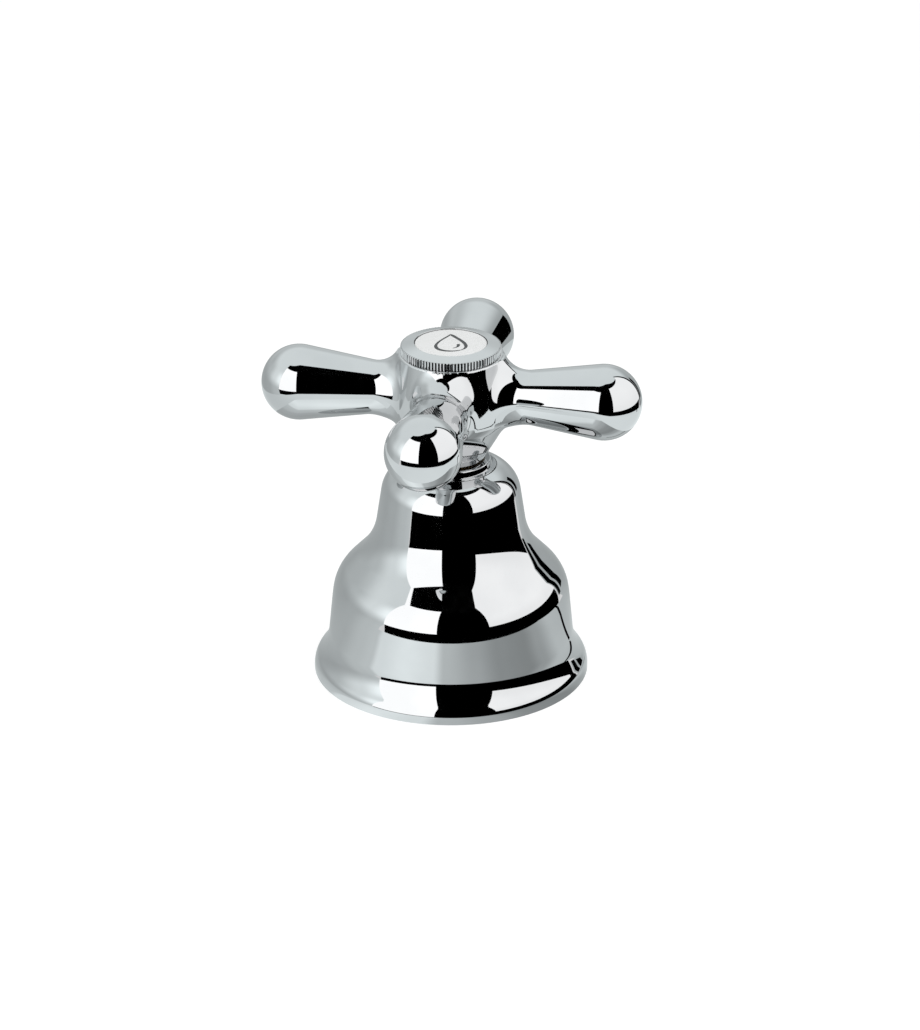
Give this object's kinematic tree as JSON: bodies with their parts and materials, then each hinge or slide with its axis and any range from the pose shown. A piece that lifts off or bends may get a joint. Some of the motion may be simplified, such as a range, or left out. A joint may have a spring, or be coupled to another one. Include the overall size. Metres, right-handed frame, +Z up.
{
  "type": "cross handle tap",
  "caption": "Deck tap top: chromed bell cover with a ball-ended cross handle and white index disc, turning a ceramic disc headwork inside.",
  "frame": {"origin": "centre of the bell's foot, on the deck surface", "axes": "+Z up along the handle's turning axis; the four arms lie along X and Y when the tap is closed"},
  "size_m": [0.08, 0.08, 0.0738],
  "materials": {
    "chrome": "polished chrome plate on brass, mirror smooth",
    "porcelain": "white glazed porcelain",
    "brass": "turned bare brass",
    "alumina": "lapped fine ceramic",
    "rubber": "black moulded rubber",
    "plastic": "off-white slip plastic",
    "steel": "stainless steel, turned and pressed"
  },
  "bodies": {
    "base": {"bell": "chrome", "base_gasket": "rubber", "collar_gasket": "rubber", "collar_ring": "chrome", "extension_sleeve": "brass", "guide_bush": "plastic", "cartridge_body": "brass", "body_gasket": "rubber", "fixed_disc": "alumina", "lip_seal": "rubber", "seal_support": "plastic"},
    "handle": {"cross_handle": "chrome", "index_ring": "chrome", "index_disc": "porcelain", "handle_screw": "steel", "screw_washer": "steel", "spline_insert": "brass", "spindle": "brass", "spindle_o_rings": "rubber", "spindle_clip": "steel", "thrust_washer": "plastic", "moving_disc": "alumina"}
  },
  "joints": [
    {"name": "handle_turn", "type": "hinge", "parent": "base", "child": "handle", "pos_m": [0, 0, 0.048], "axis": [0, 0, 1], "range_deg": [0, 90]}
  ]
}
